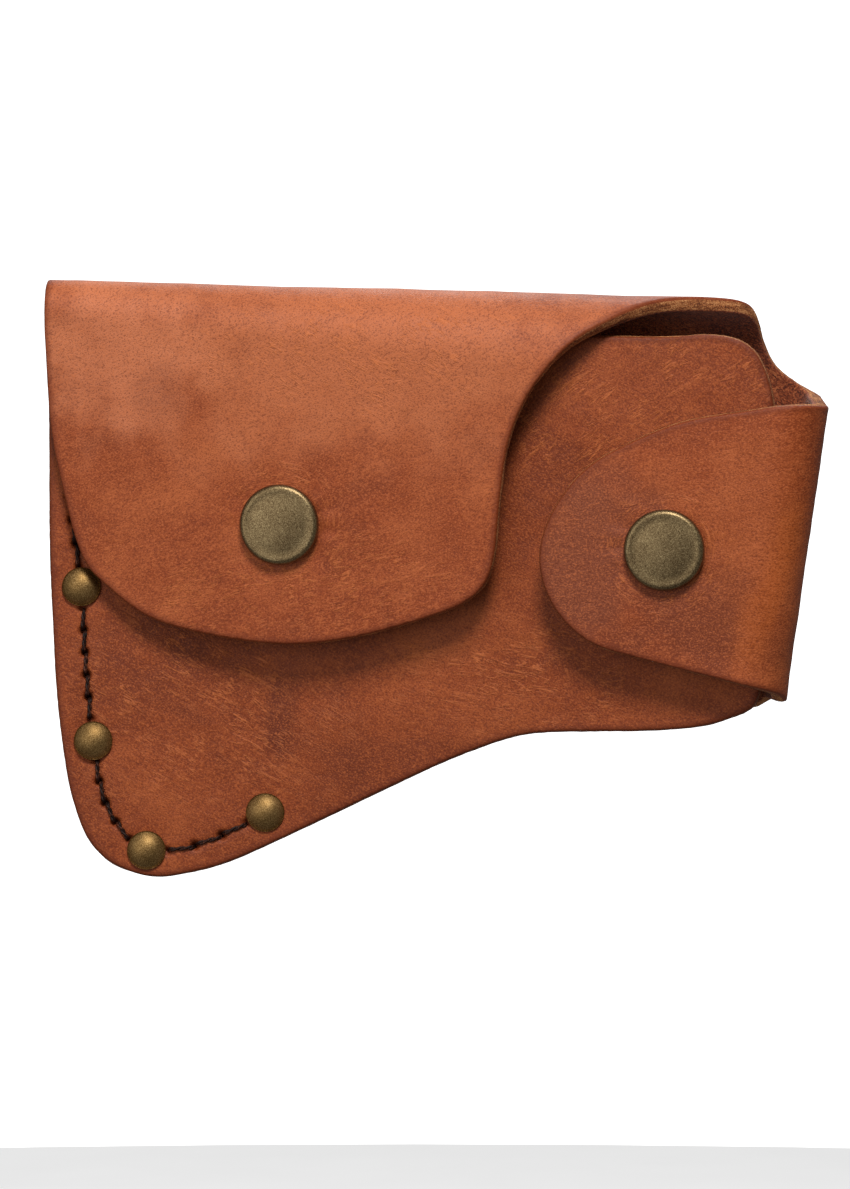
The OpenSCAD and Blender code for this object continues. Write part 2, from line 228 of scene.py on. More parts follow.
def side_fold(n1, h1, n2, h2, r):
    """A round fold between two faces: a point on its axis, the axis, both normals, radius and angle."""
    d = np.cross(n1, n2)
    c = meet(n1, h1 - r, n2, h2 - r, d, 0)
    return c, unit(d), n1, n2, r - HALF_T, math.acos(np.clip(n1 @ n2, -1, 1))


FOLD_1 = side_fold(BACK_N, BACK_FACE, SIDE_N, SIDE_W, SIDE_BACK_R)
FOLD_2 = side_fold(SIDE_N, SIDE_W, FRONT_N, FLAP_OFF, SIDE_FRONT_R)
FOLD_1_LONG, FOLD_2_LONG = (fold[4] * fold[5] for fold in (FOLD_1, FOLD_2))


def run_fold(p, fold):
    """Points of the plane before a fold, carried round it: places, normals, and how far past its start."""
    c, d, n1, n2, r, turn = fold
    f1, f2 = np.cross(d, n1), np.cross(d, n2)
    q = p - c
    s, w = q @ f1, q @ d
    a = np.clip(s / r, 0, turn)[:, None]
    out_n = n1 * np.cos(a) + f1 * np.sin(a)
    ring = c + r * out_n + w[:, None] * d
    past = c + r * n2 + (s - r * turn)[:, None] * f2 + w[:, None] * d
    place = np.where((s < 0)[:, None], p, np.where((s > r * turn)[:, None], past, ring))
    normal = np.where((s < 0)[:, None], n1, np.where((s > r * turn)[:, None], n2, out_n))
    return place, normal, s


def hide_map(p):
    """Pattern points to middle surface, normals, and where they lie: cone angle, and side distances."""
    p = np.asarray(p, float)
    q = p - TIP[[0, 2]]
    rho, alpha = np.linalg.norm(q, axis=1), np.arctan2(q[:, 1], q[:, 0]) - THETA0
    psi = np.clip(alpha / math.sin(SLOPE), 0, TURN)
    g = AXIS * math.cos(SLOPE) + cone_dir(psi) * math.sin(SLOPE)
    n = cone_dir(psi) * math.cos(SLOPE) - AXIS * math.sin(SLOPE)
    extra = np.where(alpha < 0, alpha, np.maximum(alpha - TURN * math.sin(SLOPE), 0))[:, None]
    m = np.cross(g, n)
    top = TIP + rho[:, None] * (g * np.cos(extra) + m * np.sin(extra))
    flat = np.stack([p[:, 0], np.full(len(p), BACK_FACE - HALF_T), p[:, 1]], axis=1)
    wall, wall_n, s1 = run_fold(flat, FOLD_1)
    side, side_n, s2 = run_fold(wall, FOLD_2)
    s2 = np.where(s1 > FOLD_1_LONG, s2, -1e3)
    on_wall = (s2 <= 0)[:, None]
    side, side_n = np.where(on_wall, wall, side), np.where(on_wall, wall_n, side_n)
    is_side = (s1 > 0)[:, None]
    return np.where(is_side, side, top), np.where(is_side, side_n, n), alpha / math.sin(SLOPE), s1, s2


def pattern_of(seen, guess):
    """Pattern points of the hide's front face that are seen at the given X and Z."""
    p = np.array(guess, float)
    seen = np.array(seen, float)

    def at(v):
        place, normal = hide_map(v)[:2]
        return (place + normal * HALF_T)[:, [0, 2]]

    for _ in range(60):
        f = at(p) - seen
        h = 1e-3
        jx = (at(p + [h, 0]) - at(p - [h, 0])) / (2 * h)
        jz = (at(p + [0, h]) - at(p - [0, h])) / (2 * h)
        det = jx[:, 0] * jz[:, 1] - jx[:, 1] * jz[:, 0]
        det = np.where(np.abs(det) < 0.05, np.sign(det + 1e-9) * 0.05, det)
        step = np.stack([(f[:, 0] * jz[:, 1] - f[:, 1] * jz[:, 0]) / det,
                         (jx[:, 0] * f[:, 1] - jx[:, 1] * f[:, 0]) / det], axis=1)
        size = np.linalg.norm(step, axis=1)[:, None]
        p = p - step * np.minimum(1, 4 / np.maximum(size, 1e-9))
    return p


def cone_point(x, psi, extra=0.0):
    """The pattern point on the top fold at x and the angle psi round it, then extra further on."""
    g = AXIS * math.cos(SLOPE) + cone_dir(psi) * math.sin(SLOPE)
    turned = THETA0 + psi * math.sin(SLOPE)
    ray = np.array([math.cos(turned), math.sin(turned)])
    return TIP[[0, 2]] + (x - TIP[0]) / g[0] * ray + extra * np.array([-ray[1], ray[0]])


def top_pattern(seen):
    """Pattern points of the top flap's front face that are seen at X and Z."""
    guess = []
    for x, z in seen:
        r = (x - TIP[0]) * math.tan(SLOPE)
        up = (z - (TOP_H - math.tan(TOP_FALL) * x - r)) / r
        psi = math.pi - math.asin(min(max(up, 0), 0.97))
        guess.append(cone_point(x, min(psi, TURN), max(-up, 0) * r))
    return pattern_of(seen, guess)


def side_point(s, z):
    """The pattern point s past the start of the side's first fold, at height z on the wall."""
    c, d, n1, n2, r, turn = FOLD_1
    f1 = np.cross(d, n1)
    w = (z - c[2] - r * n2[2]) / d[2]
    return (c + s * f1 + w * d)[[0, 2]]


def side_pattern(seen):
    """Pattern points of the side flap's front face that are seen at X and Z."""
    return pattern_of(seen, [side_point(WALL_END + 14 + max(0, 66 - x), z) for x, z in seen])


def seam_y(p):
    """Depth of the front panel's outer face at X and Z: flat on the seam, then rising along the crease."""
    s = (p - CREASE_TOP) @ RISE_DIR
    ease = 8.0
    lift = np.where(s > ease, s, np.where(s < -ease, 0, (s + ease) ** 2 / (4 * ease)))
    return FLANGE_FACE - lift * math.tan(PANEL_RISE)


def panel_map(p):
    """Front panel: pattern points are X and Z."""
    h = 0.05
    y = seam_y(p)
    gx = (seam_y(p + [h, 0]) - seam_y(p - [h, 0])) / (2 * h)
    gz = (seam_y(p + [0, h]) - seam_y(p - [0, h])) / (2 * h)
    n = units(np.stack([gx, -np.ones(len(p)), gz], axis=1))
    return np.stack([p[:, 0], y, p[:, 1]], axis=1) - n * HALF_T, n


def welt_map(p):
    place = np.stack([p[:, 0], np.full(len(p), (BACK_INNER + WELT_FRONT) / 2), p[:, 1]], axis=1)
    return place, np.tile([0.0, -1, 0], (len(p), 1))


# The strap's middle line: Z, how far it stands off, and half of its length
STRAP_Z = np.linspace(-STRAP_HALF, STRAP_HALF, 800)
STRAP_RISE = BELT_ROOM * smooth((STRAP_FOOT - np.abs(STRAP_Z)) / STRAP_RAMP)
STRAP_LONG = np.hypot(np.diff(STRAP_Z), np.diff(STRAP_RISE)).sum() / 2


def strap_map(p):
    """Belt loop: pattern points are X and the length along the strap; it stands off between its ends."""
    y, z = BACK_FACE + HALF_T + STRAP_RISE, STRAP_Z
    s = lengths(np.stack([STRAP_RISE, STRAP_Z], axis=1)) - STRAP_LONG
    at = [np.interp(p[:, 1], s, k) for k in (y, z, np.gradient(y, s), np.gradient(z, s))]
    n = units(np.stack([np.zeros(len(p)), at[3], -at[2]], axis=1))
    return np.stack([p[:, 0], at[0], at[1]], axis=1), n


# ---------------------------------------------------------------- sheets of leather
GRAIN, EDGE, FLESH = 0, 1, 2
RIM_RINGS = (0.18, 0.5, 1.0)
WALL_LEVELS = (0.82, 0.5, 0.18)
WALL_BULGE = 0.16
WALL_FRAY = 0.07
ROUND_IN = 0.3


def grid_points(low, high, step, rng):
    """A triangular grid over a box, with each point moved a little at random."""
    xs = np.arange(low[0], high[0], step)
    zs = np.arange(low[1], high[1], step * 0.866)
    g = np.array([(x + (j % 2) * step / 2, z) for j, z in enumerate(zs) for x in xs])
    return g + rng.uniform(-0.12, 0.12, g.shape) * step


def fill(loop, gap, fine=(), cuts=()):
    """Triangles over the closed loop: rings along its rim, a grid, and finer grids near some lines.

    fine holds each such line with its reach and its step. Edges of triangles follow the lines in cuts.
    """
    rng = np.random.default_rng(1)
    low, high = loop.min(0), loop.max(0)
    coarse = grid_points(low, high, gap, rng)
    near = np.zeros(len(coarse), bool)
    for line, reach, _ in fine:
        near |= to_line(coarse, line, False) < reach
    inner = [coarse[~near]]
    for k, (line, reach, step) in enumerate(fine):
        g = grid_points(low, high, step, rng)
        g = g[to_line(g, line, False) < reach]
        for other, other_reach, _ in fine[:k]:
            g = g[to_line(g, other, False) >= other_reach]
        inner.append(g)
    g = np.concatenate(inner)
    g = g[inside(g, loop)]
    g = g[to_line(g, loop) > RIM_RINGS[-1] + 0.35]
    for line in cuts:
        g = g[to_line(g, line, False) > gap * 0.45]
    points = [loop] + [inset(loop, w) for w in RIM_RINGS] + [g]
    edges = [(i, (i + 1) % len(loop)) for i in range(len(loop))]
    start = sum(map(len, points))
    for line in cuts:
        points.append(line)
        edges += [(start + i, start + i + 1) for i in range(len(line) - 1)]
        start += len(line)
    flat = [Vector(q) for q in np.concatenate(points)]
    co, _, tris, _, _, _ = delaunay_2d_cdt(flat, edges, [], 0, 1e-5)
    co = np.array([(c.x, c.y) for c in co])
    tris = np.array([t for t in tris if len(t) == 3])
    tris = tris[inside(co[tris].mean(1), loop)]
    area = np.cross(co[tris[:, 1]] - co[tris[:, 0]], co[tris[:, 2]] - co[tris[:, 0]])
    return co, tris[np.abs(area) > 1e-7]


def mesh_object(name, verts, faces, mats, materials, normals=None, rest=None, rim=None):
    """A mesh object in metres from arrays in millimetres."""
    me = bpy.data.meshes.new(name)
    me.from_pydata((np.asarray(verts) * MM).tolist(), [], [list(map(int, f)) for f in faces])
    for m in materials:
        me.materials.append(m)
    me.polygons.foreach_set("material_index", np.asarray(mats, dtype=np.int32))
    me.polygons.foreach_set("use_smooth", np.ones(len(faces), bool))
    if rest is not None:
        layer = me.attributes.new("rest", "FLOAT_VECTOR", "POINT")
        layer.data.foreach_set("vector", (np.asarray(rest) * MM).astype(np.float32).ravel())
    if rim is not None:
        layer = me.attributes.new("rim", "FLOAT", "POINT")
        layer.data.foreach_set("value", np.asarray(rim, dtype=np.float32))
    me.update()
    if normals is not None:
        me.normals_split_custom_set_from_vertices(np.asarray(normals).tolist())
    ob = bpy.data.objects.new(name, me)
    bpy.context.scene.collection.objects.link(ob)
    return ob


def rounding(far, r):
    """How far a face drops at the distance far from its edge, when the edge is rounded by r."""
    return r * (1 - np.sqrt(np.clip(1 - (1 - np.minimum(far / r, 1)) ** 2, 0, 1)))


def edges_of(tris):
    """The triangles' directed edges, and for each undirected edge the numbers of those along it."""
    pairs = np.concatenate([tris[:, [0, 1]], tris[:, [1, 2]], tris[:, [2, 0]]])
    along = {}
    for k, (a, b) in enumerate(pairs):
        along.setdefault((min(a, b), max(a, b)), []).append(k)
    return pairs, along


def vertex_normals(verts, *blocks):
    """Smooth normals from blocks of triangles or quads."""
    normals = np.zeros_like(verts)
    for block in blocks:
        out = np.cross(verts[block[:, 2]] - verts[block[:, 0]], verts[block[:, -1]] - verts[block[:, 1]])
        for corner in block.T:
            np.add.at(normals, corner, out)
    return units(normals)


def cut_wall(rim, co, place, normal, low, high):
    """The cut edge between a sheet's two faces: points, pattern places, quads and each quad's triangle."""
    corners = np.array(sorted({v for a, b, _ in rim for v in (a, b)}))
    count = len(corners)
    slot = {v: i for i, v in enumerate(corners)}
    away = np.zeros((count, 3))
    for a, b, _ in rim:
        out = np.cross(place[b] - place[a], normal[a])
        away[slot[a]] += out
        away[slot[b]] += out
    away = units(away)
    verts, rest, rings = [], [], [corners]
    for k, u in enumerate(WALL_LEVELS):
        bulge = WALL_BULGE * math.sin(math.pi * u) + WALL_FRAY * rough(co[corners] + 31 * k, 1.1, 3.3 + k, 2)
        h = low[corners] + (high[corners] - low[corners]) * u
        verts.append(place[corners] + normal[corners] * h[:, None] + away * bulge[:, None])
        rest.append(np.column_stack([co[corners], h]))
        rings.append(2 * len(co) + k * count + np.arange(count))
    rings.append(corners + len(co))
    quads, owners = [], []
    for a, b, own in rim:
        i, j = slot[a], slot[b]
        for up, down in zip(rings[:-1], rings[1:]):
            quads.append((up[j], up[i], down[i], down[j]))
            owners.append(own)
    return verts, rest, np.array(quads), np.array(owners)


def end_caps(edges, start, verts, rest, place, normal):
    """Quads that close a piece along the edges where the next piece starts, numbered from start."""
    ring = sorted({x for edge in edges for x in edge})
    slot = {x: 2 * i for i, x in enumerate(ring)}
    both = np.array([(x, x + len(place)) for x in ring]).ravel()
    normals = np.zeros((len(both), 3))
    faces = []
    for a, b in edges:
        i, j = slot[a], slot[b]
        out = np.cross(place[b] - place[a], normal[a])
        normals[i:i + 2] += out
        normals[j:j + 2] += out
        faces.append((start + j, start + i, start + i + 1, start + j + 1))
    return verts[both], rest[both], units(normals), faces


def leather(names, loop, shape, materials, thick=HIDE_T, gap=1.6, fine=(), cuts=(), zones=None, dent=None,
            base=(0, 0, 0), round_out=0.55, holes=()):
    """A closed sheet of leather over the loop, bent by shape, with rounded cut edges.

    zones gives each triangle the number of its piece, and names has a name for each piece. dent moves
    the grain side along its normal. base moves the sheet within its material's pattern. The leather is
    worn at the rim and round the holes. Returns each piece's object and the pattern points of its mesh.
    """
    loop = loop if np.cross(loop, np.roll(loop, -1, axis=0)).sum() > 0 else loop[::-1]
    co, tris = fill(loop, gap, fine, cuts)
    place, normal = shape(co)[:2]
    flow = np.cross(place[tris[:, 1]] - place[tris[:, 0]], place[tris[:, 2]] - place[tris[:, 0]])
    flip = (flow * normal[tris[:, 0]]).sum(1) < 0
    tris[flip] = tris[flip][:, ::-1]
    far = to_line(co, loop)
    push = dent(co) if dent else np.zeros(len(co))
    high = thick / 2 - rounding(far, round_out) + push
    low = -thick / 2 + rounding(far, ROUND_IN) + 0.35 * push

    pairs, along = edges_of(tris)
    owner = np.tile(np.arange(len(tris)), 3)
    rim = [(*pairs[k[0]], owner[k[0]]) for k in along.values() if len(k) == 1]
    wall_verts, wall_rest, quads, quad_owner = cut_wall(rim, co, place, normal, low, high)
    verts = np.concatenate([place + normal * high[:, None], place + normal * low[:, None], *wall_verts])
    rest = np.concatenate([np.column_stack([co, high]), np.column_stack([co, low]), *wall_rest]) + base
    front, back = tris, tris[:, ::-1] + len(co)
    normals = vertex_normals(verts, front, back, quads)

    piece_of = zones(co[tris].mean(1)) if zones else np.zeros(len(tris), int)
    out = []
    for number, name in enumerate(names):
        mine = piece_of == number
        blocks = [front[mine], back[mine], quads[mine[quad_owner]]]
        used = np.unique(np.concatenate([block.ravel() for block in blocks]))
        renumber = np.full(len(verts), -1)
        renumber[used] = np.arange(len(used))
        faces = [tuple(face) for block in blocks for face in renumber[block]]
        mats = [kind for kind, block in zip((GRAIN, FLESH, EDGE), blocks) for _ in block]
        parts = [verts[used], rest[used], normals[used]]
        inner = [ks for ks in along.values() if len(ks) == 2]
        shared = [ks for ks in inner if mine[owner[ks[0]]] != mine[owner[ks[1]]]]
        border = [pairs[k] for ks in shared for k in ks if mine[owner[k]]]
        if border:
            *more, caps = end_caps(border, len(used), verts, rest, place, normal)
            parts = [np.concatenate(both) for both in zip(parts, more)]
            faces += caps
            mats += [EDGE] * len(caps)
        flat = parts[1][:, :2] - base[:2]
        worn = to_line(flat, loop)
        for hole in holes:
            worn = np.minimum(worn, 0.1 + 1.1 * np.linalg.norm(flat - hole, axis=1))
        ob = mesh_object(name, parts[0], faces, mats, materials, parts[2], parts[1], worn)
        out.append((ob, flat))
    return out


# ---------------------------------------------------------------- materials
def srgb(r, g, b):
    """A linear colour from the usual 0 to 255 values."""
    parts = [c / 255 for c in (r, g, b)]
    return (*(c / 12.92 if c < 0.0404 else ((c + 0.055) / 1.055) ** 2.4 for c in parts), 1)


STRETCHED = srgb(196, 108, 58)


class Surface:
    """A node material; its methods add nodes and return their sockets. Lengths are in millimetres."""

    def __init__(self, name, attribute=None):
        self.material = bpy.data.materials.new(name)
        self.material.use_nodes = True
        self.tree = self.material.node_tree
        self.tree.nodes.clear()
        out = self.add("ShaderNodeOutputMaterial")
        self.shader = self.add("ShaderNodeBsdfPrincipled")
        self.tree.links.new(self.shader.outputs[0], out.inputs[0])
        if attribute:
            place = self.add("ShaderNodeAttribute")
            place.attribute_name = attribute
            source = place.outputs["Vector"]
        else:
            source = self.add("ShaderNodeTexCoord").outputs["Object"]
        self.place = self.vector("SCALE", source, scale=1 / MM)

    def add(self, kind, **settings):
        node = self.tree.nodes.new(kind)
        for key, value in settings.items():
            setattr(node, key, value)
        return node

    def put(self, socket, value):
        """Link another socket to this one, or give it a plain value."""
        if isinstance(value, bpy.types.NodeSocket):
            self.tree.links.new(value, socket)
        else:
            socket.default_value = value

    def vector(self, operation, a, b=None, scale=None):
        node = self.add("ShaderNodeVectorMath", operation=operation)
        self.put(node.inputs[0], a)
        if b is not None:
            self.put(node.inputs[1], b)
        if scale is not None:
            node.inputs["Scale"].default_value = scale
        return node.outputs["Value" if operation == "LENGTH" else "Vector"]

    def math(self, operation, a, b=0.0):
        node = self.add("ShaderNodeMath", operation=operation)
        self.put(node.inputs[0], a)
        self.put(node.inputs[1], b)
        return node.outputs[0]

    def total(self, *terms, start=None):
        """The sum of start and some sockets, each times its weight."""
        result = start
        for socket, weight in terms:
            part = self.math("MULTIPLY", socket, weight)
            result = part if result is None else self.math("ADD", result, part)
        return result

    def noise(self, size, detail=3.0, stretch=(1, 1, 1), turn=0.0, distort=0.0):
        """Noise from 0 to 1 with features about size wide, stretched and turned in the leather's plane."""
        place = self.add("ShaderNodeMapping", vector_type="TEXTURE")
        self.put(place.inputs["Vector"], self.place)
        place.inputs["Rotation"].default_value = (0, 0, turn)
        place.inputs["Scale"].default_value = tuple(1 / v for v in stretch)
        return self.noise_at(place.outputs[0], 1 / size, detail, distort)

    def noise_at(self, place, scale, detail, distort):
        node = self.add("ShaderNodeTexNoise")
        self.put(node.inputs["Vector"], place)
        for key, value in (("Scale", scale), ("Detail", detail), ("Distortion", distort)):
            node.inputs[key].default_value = value
        return node.outputs[0]

    def ramp(self, value, *stops):
        node = self.add("ShaderNodeValToRGB")
        band = node.color_ramp
        while len(band.elements) < len(stops):
            band.elements.new(0.5)
        for element, (at, colour) in zip(band.elements, stops):
            element.position = at
            element.color = colour if len(colour) == 4 else (*colour, 1)
        self.put(node.inputs[0], value)
        return node.outputs[0]

    def between(self, value, low, high, to_low=0.0, to_high=1.0):
        """A smooth step from to_low to to_high while value goes from low to high."""
        node = self.add("ShaderNodeMapRange", interpolation_type="SMOOTHSTEP")
        self.put(node.inputs[0], value)
        for i, v in enumerate((low, high, to_low, to_high)):
            node.inputs[1 + i].default_value = v
        return node.outputs[0]

    def mix(self, factor, a, b):
        node = self.add("ShaderNodeMix", data_type="RGBA")
        self.put(node.inputs[0], factor)
        self.put(node.inputs[6], a)
        self.put(node.inputs[7], b)
        return node.outputs[2]

    def bump(self, height, depth, before=None):
        """Bump of about depth millimetres."""
        node = self.add("ShaderNodeBump")
        node.inputs["Distance"].default_value = depth * MM
        self.put(node.inputs["Height"], height)
        if before is not None:
            self.put(node.inputs["Normal"], before)
        return node.outputs[0]

    def finish(self, colour, rough, normal, **constants):
        self.put(self.shader.inputs["Base Color"], colour)
        self.put(self.shader.inputs["Roughness"], rough)
        self.put(self.shader.inputs["Normal"], normal)
        for key, value in constants.items():
            self.shader.inputs[key.replace("_", " ")].default_value = value
        return self.material


def spot(s, centre, reach):
    """1 at a place on the leather, fading to 0; reach is its half width along each axis."""
    away = s.vector("SUBTRACT", s.place, (*centre, 0))
    away = s.vector("MULTIPLY", away, (1 / reach[0], 1 / reach[1], 0))
    ragged = s.total((s.math("SUBTRACT", s.noise(9), 0.5), 1.3), start=s.vector("LENGTH", away))
    return s.between(ragged, 0.35, 1.15, 1.0, 0.0)


def hair_lines(s, field):
    """Thin broken lines where a noise field crosses its middle."""
    line = s.between(s.math("ABSOLUTE", s.math("SUBTRACT", field, 0.5)), 0.0, 0.05, 1.0, 0.0)
    return s.math("MULTIPLY", line, s.between(s.noise(2.6, 3), 0.4, 0.56))


def stretch_lines(s, turn, centre, reach):
    """Pale lines where the leather was stretched, along one direction in one area."""
    field = s.noise(1.0, 4, (1, 0.16, 1), turn, 0.8)
    area = s.math("MULTIPLY", spot(s, centre, reach), s.between(s.noise(11, 3, distort=0.5), 0.32, 0.54))
    return s.math("MULTIPLY", hair_lines(s, field), area)


def ring_lines(s, centre, cap):
    """Pale creases that run round a snap's cap."""
    away = s.vector("SUBTRACT", s.place, (*centre, 0))
    away = s.vector("MULTIPLY", away, (1, 1, 0))
    far = s.vector("LENGTH", away)
    parts = s.add("ShaderNodeSeparateXYZ")
    s.put(parts.inputs[0], away)
    turn = s.math("ARCTAN2", parts.outputs[1], parts.outputs[0])
    joined = s.add("ShaderNodeCombineXYZ")
    s.put(joined.inputs[0], far)
    s.put(joined.inputs[1], s.math("MULTIPLY", turn, 1.9))
    field = s.noise_at(joined.outputs[0], 0.85, 4, 0.5)
    near = s.between(far, cap + 1.0, cap + 8.0, 1.0, 0.0)
    area = s.math("MULTIPLY", near, s.between(s.noise(8), 0.3, 0.46))
    return s.math("MULTIPLY", hair_lines(s, field), area)


def grain_leather(name, dark, mid, light, marks=(), streak=0.5, stretched=(), ringed=()):
    """Oiled leather's grain side: fine grain, soft tones along streak, pale lines, and darker worn rims.

    marks are tinted areas, each with its centre, reach, colour and strength. stretched holds the turn,
    centre and reach of areas with pale lines, and ringed the snaps that have creases round them.
    """
    s = Surface(name, "rest")
    blotch = s.noise(34, 3, distort=0.4)
    mottle = s.noise(6.5, 5, distort=0.3)
    pull = s.noise(4.5, 5, (1, 0.25, 1), streak)
    tone = s.total((blotch, 0.58), (mottle, 0.26), (pull, 0.16))
    colour = s.ramp(tone, (0.28, dark), (0.50, mid), (0.72, light))
    # Tinted marks: stains and tone, and on the hide's flaps also painted light and painted shade.
    for centre, reach, tint, strength in marks:
        mask = s.math("MULTIPLY", spot(s, centre, reach), strength)
        colour = s.mix(mask, colour, tint)
    grain = s.noise(0.25, 2, (1, 0.7, 1), streak, 0.5)
    coarse = s.noise(0.75, 4, (1, 0.4, 1), streak, 0.8)
    colour = s.mix(s.between(grain, 0.34, 0.5, 0.6, 0.0), colour, dark)
    colour = s.mix(s.between(grain, 0.5, 0.66, 0.0, 0.65), colour, light)
    colour = s.mix(s.between(coarse, 0.34, 0.5, 0.16, 0.0), colour, dark)
    colour = s.mix(s.between(coarse, 0.54, 0.7, 0.0, 0.2), colour, light)
    lines = [stretch_lines(s, *area) for area in stretched] + [ring_lines(s, at, CAP_R) for at in ringed]
    hairs = 0.0
    for line in lines:
        hairs = s.math("MAXIMUM", hairs, line)
    colour = s.mix(s.math("MULTIPLY", hairs, 0.58), colour, STRETCHED)
    rim = s.add("ShaderNodeAttribute")
    rim.attribute_name = "rim"
    worn = s.total((s.math("SUBTRACT", s.noise(1.8), 0.5), 0.9), start=rim.outputs["Fac"])
    colour = s.mix(s.between(worn, 0.4, 1.7, 0.6, 0.0), colour, dark)
    rough = s.total((mottle, 0.16), start=0.5)
    normal = s.bump(grain, 0.07)
    normal = s.bump(coarse, 0.07, normal)
    normal = s.bump(hairs, 0.06, normal)
    normal = s.bump(s.noise(3.2, 4), 0.14, normal)
    return s.finish(colour, rough, normal, Specular_IOR_Level=0.24)


def cut_edge():
    """The cut rim of the hide: short pressed fibres, tan with dark specks."""
    s = Surface("leather_cut_edge", "rest")
    fibre = s.noise(0.28, 4, (1, 1, 2), 0.4, 0.6)
    layer = s.noise(1.6, 3, (0.35, 0.35, 2.2))
    tone = s.total((fibre, 0.62), (layer, 0.38))
    colour = s.ramp(tone, (0.38, srgb(66, 28, 13)), (0.46, srgb(124, 66, 33)), (0.53, srgb(168, 104, 58)),
                    (0.61, srgb(204, 146, 96)))
    normal = s.bump(fibre, 0.2)
    normal = s.bump(s.noise(0.24, 3), 0.08, normal)
    rough = s.total((layer, 0.25), start=0.7)
    return s.finish(colour, rough, normal, Specular_IOR_Level=0.25)


def flesh_suede():
    """The flesh side: napped, darker, with loose fibres."""
    s = Surface("leather_flesh", "rest")
    nap = s.noise(0.32, 4, (1, 0.6, 1), 0.9, 0.8)
    patch = s.noise(16, 4, distort=0.3)
    tone = s.total((nap, 0.72), (patch, 0.28))
    colour = s.ramp(tone, (0.38, srgb(72, 27, 12)), (0.5, srgb(134, 62, 31)), (0.62, srgb(186, 108, 64)))
    normal = s.bump(nap, 0.22)
    normal = s.bump(s.noise(0.22, 3), 0.1, normal)
    rough = s.total((nap, 0.12), start=0.84)
    return s.finish(colour, rough, normal, Specular_IOR_Level=0.15, Sheen_Weight=0.12, Sheen_Roughness=0.6)


def aged_brass(name, dark, mid, light, rough):
    """Brass with a brown film, pitted finely."""
    s = Surface(name)
    film = s.noise(5.0, 4, distort=0.5)
    speck = s.noise(0.2, 2)
    tone = s.total((film, 0.22), (speck, 0.78))
    colour = s.ramp(tone, (0.34, dark), (0.5, mid), (0.68, light))
    gloss = s.total((speck, 0.22), start=rough)
    normal = s.bump(speck, 0.035)
    normal = s.bump(s.noise(2.2, 3), 0.02, normal)
    normal = s.bump(s.noise(0.7, 3, (1, 0.05, 1), 0.7), 0.012, normal)
    return s.finish(colour, gloss, normal, Metallic=1.0)


def waxed_thread():
    """Dark waxed thread, with paler reddish patches painted in as glints on the wax."""
    s = Surface("waxed_thread")
    ply = s.noise(0.35, 4, (1, 1, 0.35))
    wax_and_glint = s.noise(3.0, 3)
    tone = s.total((ply, 0.6), (wax_and_glint, 0.4))
    # The pale top stop of this ramp is a painted glint, not a colour of the thread.
    colour = s.ramp(tone, (0.38, srgb(16, 7, 4)), (0.54, srgb(40, 17, 9)), (0.7, srgb(120, 64, 40)))
    rough = s.total((wax_and_glint, 0.2), start=0.5)
    return s.finish(colour, rough, s.bump(ply, 0.1), Specular_IOR_Level=0.2)


def spring_steel():
    """Bright wire with a faint film."""
    s = Surface("spring_steel")
    film = s.noise(0.8, 4)
    colour = s.ramp(film, (0.35, srgb(120, 118, 112)), (0.65, srgb(196, 194, 188)))
    rough = s.total((film, 0.2), start=0.22)
    return s.finish(colour, rough, s.bump(s.noise(0.3), 0.01), Metallic=1.0)


# ---------------------------------------------------------------- the hide as one piece of leather
def wall_end():
    """Distance along the pattern from the first side fold's start to the second's."""
    s = np.linspace(0, 80, 8001)
    line = np.array([side_point(v, 0) for v in s])
    return float(s[np.argmax(hide_map(line)[4] > 0)])


WALL_END = wall_end()
WALL_CUT = (FOLD_1_LONG + WALL_END) / 2
TOP_CUT = TURN / 2
LEFT = -68.5

low_back = spline([*SEAM_EDGE, *LOW_EDGE, (65, -36.9), (69.5, -36)])[:-1]
wall_low = [side_point(s, -34.4) for s in np.linspace(5, WALL_END - 1, 6)]
side_flap_edge = side_pattern([(72, -33.3), *SIDE_FLAP_EDGE[::-1]])
wall_high = [side_point(s, 21.9 + 3.6 * (1 - s / WALL_END)) for s in np.linspace(WALL_END - 1, 9, 6)]
# Round the right end of the top fold: X and the angle round the fold
TOP_FOLD_END = [(72.9, 0.375), (70.6, 0.66), (69.4, 0.95), (68.3, 1.16), (66.6, 1.34), (63.8, 1.49),
                (59, 1.63)]
notch = [side_point(5.5, 25), (77, 27.2), *(cone_point(x, psi) for x, psi in TOP_FOLD_END)]
flap_edge = top_pattern(TOP_FLAP_EDGE)
left_end = [cone_point(LEFT, psi) for psi in np.linspace(TURN, 0.15, 7)]
flaps = spline([(69.5, -36), *wall_low, *side_flap_edge, *wall_high, *notch, *flap_edge, *left_end,
                (-68.45, 39.5)])
hide_loop = np.concatenate([low_back, flaps])

top_snap = top_pattern([TOP_SNAP])[0]
side_snap = side_pattern([SIDE_SNAP])[0]
flap_blotch = top_pattern([(-46, 25)])[0]
# The next two are the centres of painted light high on the top flap, where its fold turns up towards the key
# lamp.
flap_painted_light_top = top_pattern([(-6, 34)])[0]
flap_painted_light_left = top_pattern([(-54, 34)])[0]
flap_low = top_pattern([(-24, -12)])[0]
side_pale = side_pattern([(66, 2)])[0]
side_rim = side_pattern([(70, -14)])[0]
side_lobe = side_pattern([(34, -9)])[0]
side_shade = side_pattern([(58, -18)])[0]


